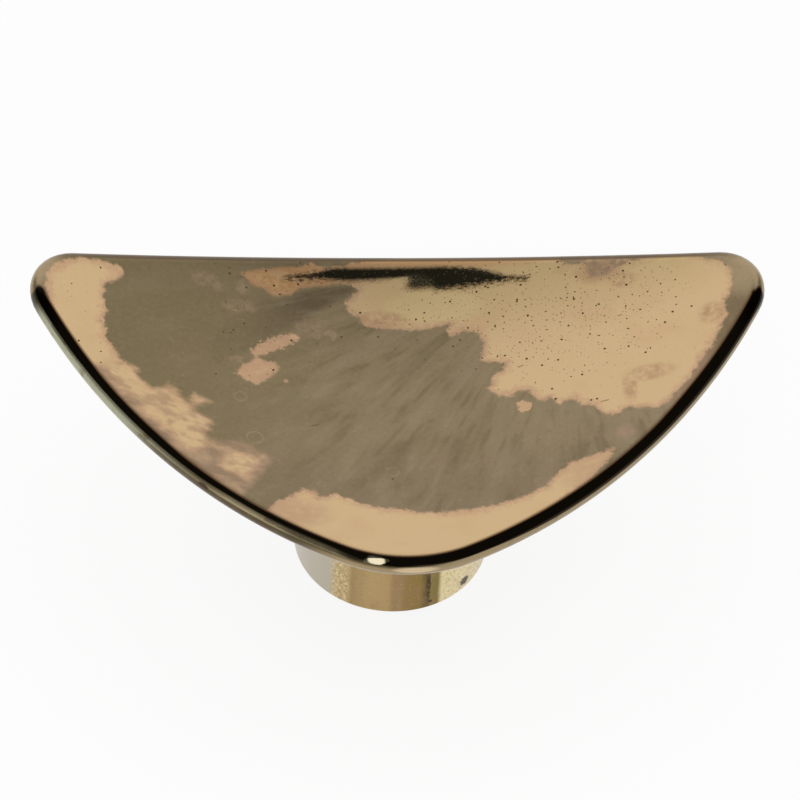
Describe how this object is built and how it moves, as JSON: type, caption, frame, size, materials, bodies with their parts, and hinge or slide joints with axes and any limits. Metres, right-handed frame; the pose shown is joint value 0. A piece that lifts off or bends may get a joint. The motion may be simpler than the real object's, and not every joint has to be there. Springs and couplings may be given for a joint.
{
  "type": "triangular cabinet knob",
  "caption": "cast bronze cabinet knob: a dished triangular plate with convex sides and a full-round edge on a round foot with a tapped blind hole",
  "frame": {"origin": "centre of the foot's flat base, on the axis of the foot and of its tapped hole", "axes": "+Z out of the cabinet, from the foot's base to the dished face; +X along the plate's long back edge; -Y to the front corner"},
  "size_m": [0.06, 0.0343, 0.0255],
  "materials": {
    "bronze": "polished, with tarnish patches and fine brush marks on the dished face"
  },
  "bodies": {
    "root": {"knob": "bronze"}
  },
  "joints": []
}
